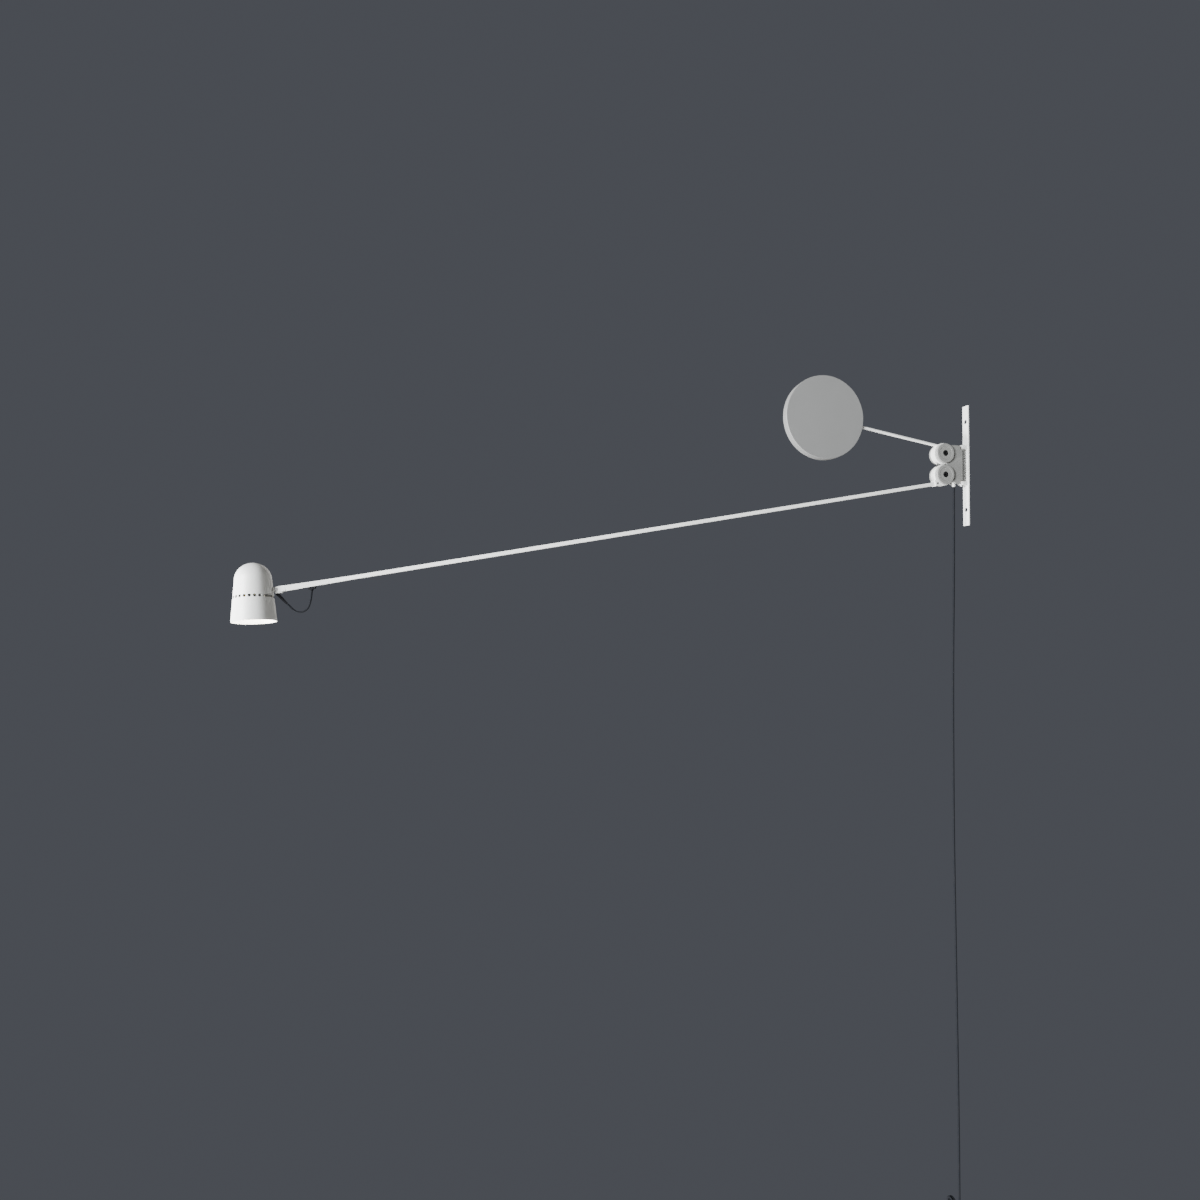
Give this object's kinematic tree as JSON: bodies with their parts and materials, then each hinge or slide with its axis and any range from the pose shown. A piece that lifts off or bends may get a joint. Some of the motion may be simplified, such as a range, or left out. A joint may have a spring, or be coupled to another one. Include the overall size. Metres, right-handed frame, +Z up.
{
  "type": "swing arm wall sconce",
  "caption": "Long-reach swing arm wall light: a thin arm with a small downlight head, geared to a round counterweight on its own rod, on a hinged wall plate.",
  "frame": {"origin": "middle of the wall plate's back face, on the wall", "axes": "+X into the wall, -X into the room along the resting arms, +Z up, arms in the plane Y = 0, axles along Y"},
  "size_m": [1.9247, 0.1008, 2.5507],
  "materials": {
    "white_paint": "fine satin powder coat",
    "weight_paint": "satin grey coat on a machined casting",
    "cap_paint": "satin grey coat",
    "bright_steel": "bright turned steel",
    "black_steel": "black oxide",
    "gear_steel": "machined steel, lightly greased",
    "bronze": "sintered bronze",
    "white_plastic": "fine matt moulding",
    "black_plastic": "matt moulding",
    "cable_black": "smooth matt cable sheath",
    "bushing_plastic": "plain bearing plastic",
    "heat_sink_metal": "bare die cast",
    "board_white": "white solder mask",
    "phosphor": "cast phosphor",
    "reflector_metal": "dark spun sheet with a smooth finish",
    "diffuser_lit": "frosted sheet, lit from behind",
    "plug_plastic": "satin moulding",
    "plug_metal": "nickel-plated",
    "tie_fabric": "woven hook and loop"
  },
  "bodies": {
    "wall_bracket": {"wall_plate": "white_paint", "hinge_bracket": "white_paint", "hinge_pin": "bright_steel", "pin_clip": "black_steel"},
    "swivel": {"swivel_block": "cap_paint", "hinge_bushes": "bronze", "lower_axle": "bright_steel", "upper_axle": "bright_steel", "front_lower_cap": "cap_paint", "front_upper_cap": "cap_paint", "rear_lower_cap": "cap_paint", "rear_upper_cap": "cap_paint", "cap_screws": "black_steel", "mains_cord": "cable_black", "mains_hank": "cable_black", "hank_tie": "tie_fabric", "plug_body": "plug_plastic", "plug_pins": "plug_metal"},
    "lamp_arm": {"lower_hub": "white_paint", "lower_gear": "gear_steel", "lower_gear_pins": "bright_steel", "lower_bushes": "bronze", "lamp_arm": "white_paint", "arm_screws": "bright_steel", "arm_cable": "cable_black", "arm_end_socket": "bushing_plastic", "tail_plug": "white_plastic", "tail_gland": "white_plastic", "arm_grommet": "black_plastic", "jumper_cable": "cable_black"},
    "counter_arm": {"upper_hub": "white_paint", "upper_gear": "gear_steel", "upper_gear_pins": "bright_steel", "upper_bushes": "bronze", "counter_rod": "white_paint", "rod_screws": "black_steel", "counterweight": "weight_paint", "weight_screw": "black_steel"},
    "neck": {"neck": "white_paint", "neck_retainer": "bright_steel", "tilt_pin": "bright_steel", "cable_boot": "black_plastic"},
    "head": {"shade": "white_paint", "head_lug": "white_paint", "lug_screws": "bright_steel", "heat_sink": "heat_sink_metal", "led_board": "board_white", "led_chip": "phosphor", "reflector": "reflector_metal", "diffuser": "diffuser_lit", "diffuser_ring": "white_plastic"}
  },
  "joints": [
    {"name": "swing", "type": "hinge", "parent": "wall_bracket", "child": "swivel", "pos_m": [-0.017, 0, 0], "axis": [0, 0, 1], "range_deg": [-80, 80]},
    {"name": "lamp_pitch", "type": "hinge", "parent": "swivel", "child": "lamp_arm", "pos_m": [-0.08, 0, -0.03], "axis": [0, 1, 0], "range_deg": [-50, 8], "deforming": ["mains_cord"]},
    {"name": "counter_pitch", "type": "hinge", "parent": "swivel", "child": "counter_arm", "pos_m": [-0.08, 0, 0.03], "axis": [0, 1, 0], "range_deg": [-8, 50]},
    {"name": "head_turn", "type": "hinge", "parent": "lamp_arm", "child": "neck", "pos_m": [-1.82995, 0, -0.35633], "axis": [0.9851, 0, 0.1719], "range_deg": [-83, 97], "deforming": ["jumper_cable"]},
    {"name": "head_tilt", "type": "hinge", "parent": "neck", "child": "head", "pos_m": [-1.82995, 0, -0.35633], "axis": [0.021, 0.9925, -0.1201], "range_deg": [-15, 60]}
  ],
  "couplings": [
    {"joint": "counter_pitch", "follows": "lamp_pitch", "ratio": -1}
  ]
}
